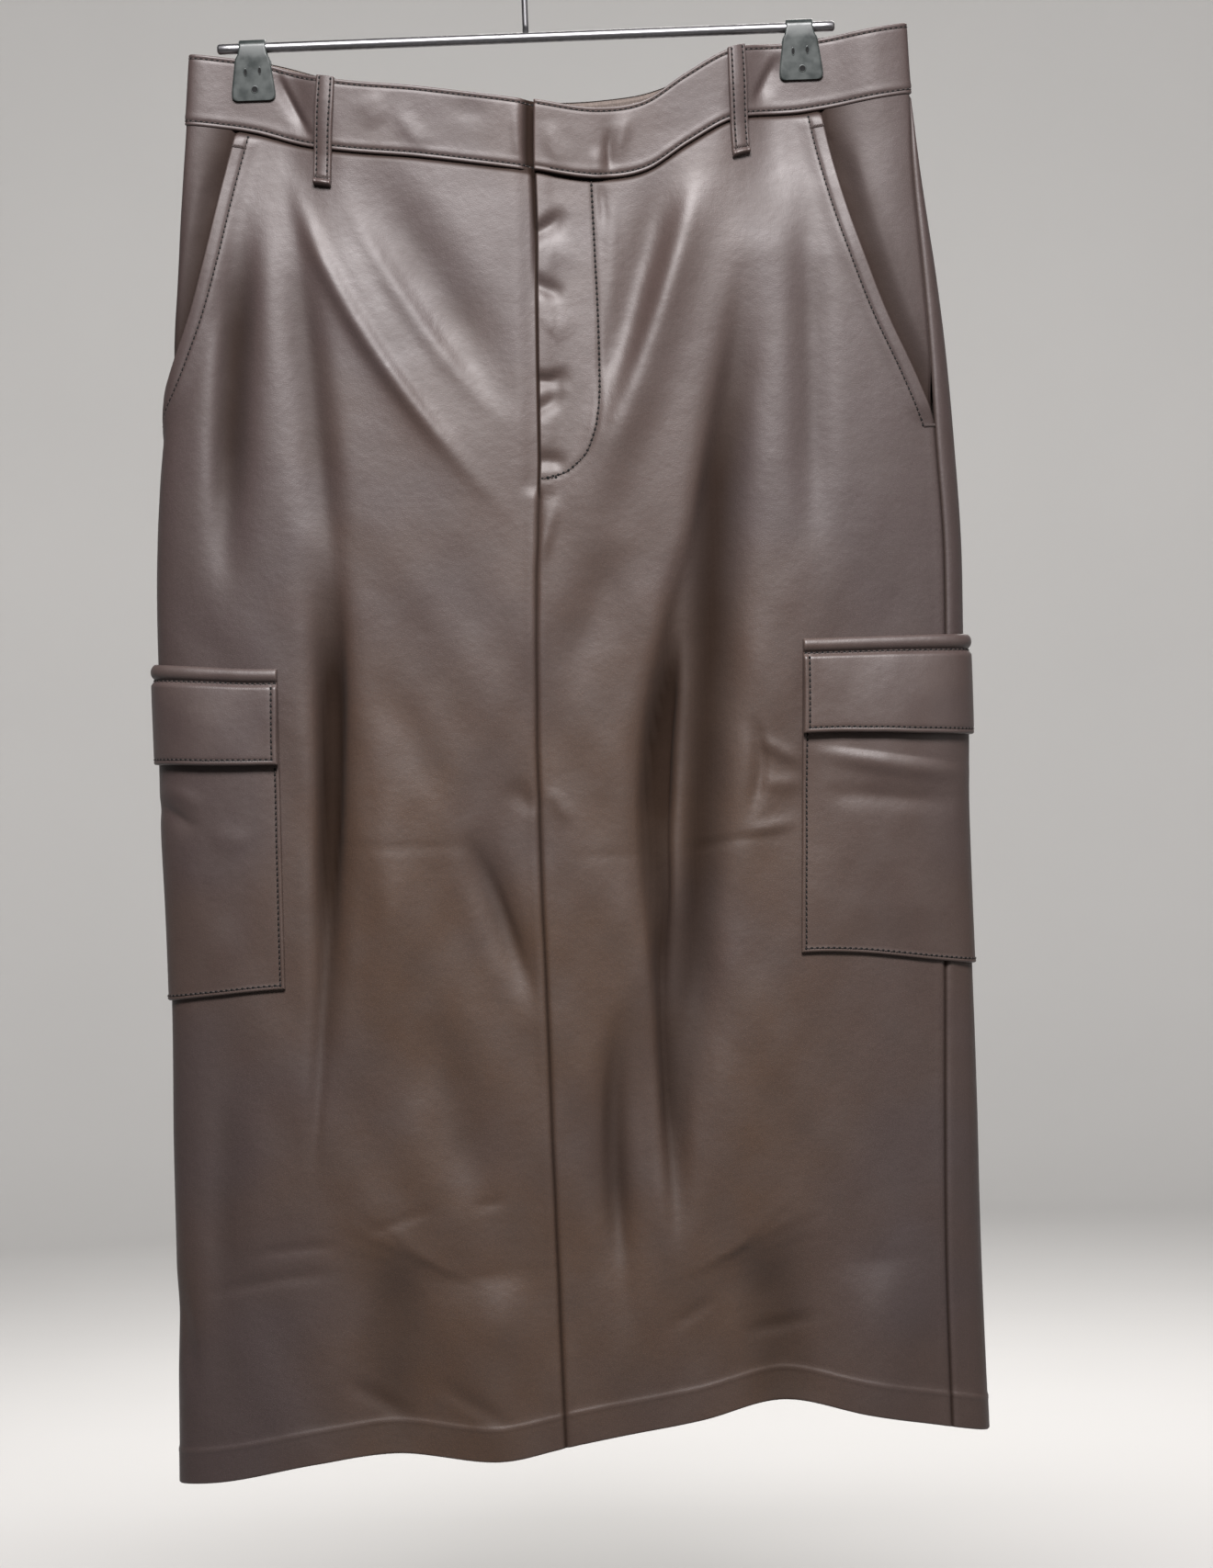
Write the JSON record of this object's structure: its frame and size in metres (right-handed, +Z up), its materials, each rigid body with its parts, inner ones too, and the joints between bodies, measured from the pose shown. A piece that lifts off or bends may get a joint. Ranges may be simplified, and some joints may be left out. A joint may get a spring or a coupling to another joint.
{
  "type": "cargo midi skirt on a clip hanger",
  "caption": "Midi skirt of coated cloth with slanted pockets, flapped cargo pockets and belt loops, hung flat from a clip hanger.",
  "frame": {"origin": "point under the top of the hanger's hook, where a rail bears", "axes": "+Z up, the skirt's front faces -Y, +X is to the right as seen from the front"},
  "size_m": [0.5094, 0.0824, 0.9898],
  "materials": {
    "coated_cloth": "soft coated cloth with a fine grain and a satin sheen, topstitched in its own colour",
    "clip_plate": "dark green-grey pressed plates, slightly worn",
    "hanger_steel": "bright plated steel rod and wire"
  },
  "bodies": {
    "root": {"waistband": "coated_cloth", "front_left": "coated_cloth", "front_right": "coated_cloth", "back_left": "coated_cloth", "back_right": "coated_cloth", "fly_underlap": "coated_cloth", "pocket_facing_left": "coated_cloth", "pocket_facing_right": "coated_cloth", "cargo_pocket_left": "coated_cloth", "cargo_pocket_right": "coated_cloth", "cargo_flap_left": "coated_cloth", "cargo_flap_right": "coated_cloth", "belt_loop_front_left": "coated_cloth", "belt_loop_front_right": "coated_cloth", "belt_loop_back_left": "coated_cloth", "belt_loop_back_centre": "coated_cloth", "belt_loop_back_right": "coated_cloth", "clip_left": "clip_plate", "clip_right": "clip_plate", "hanger_bar": "hanger_steel", "hanger_hook": "hanger_steel"}
  },
  "joints": []
}
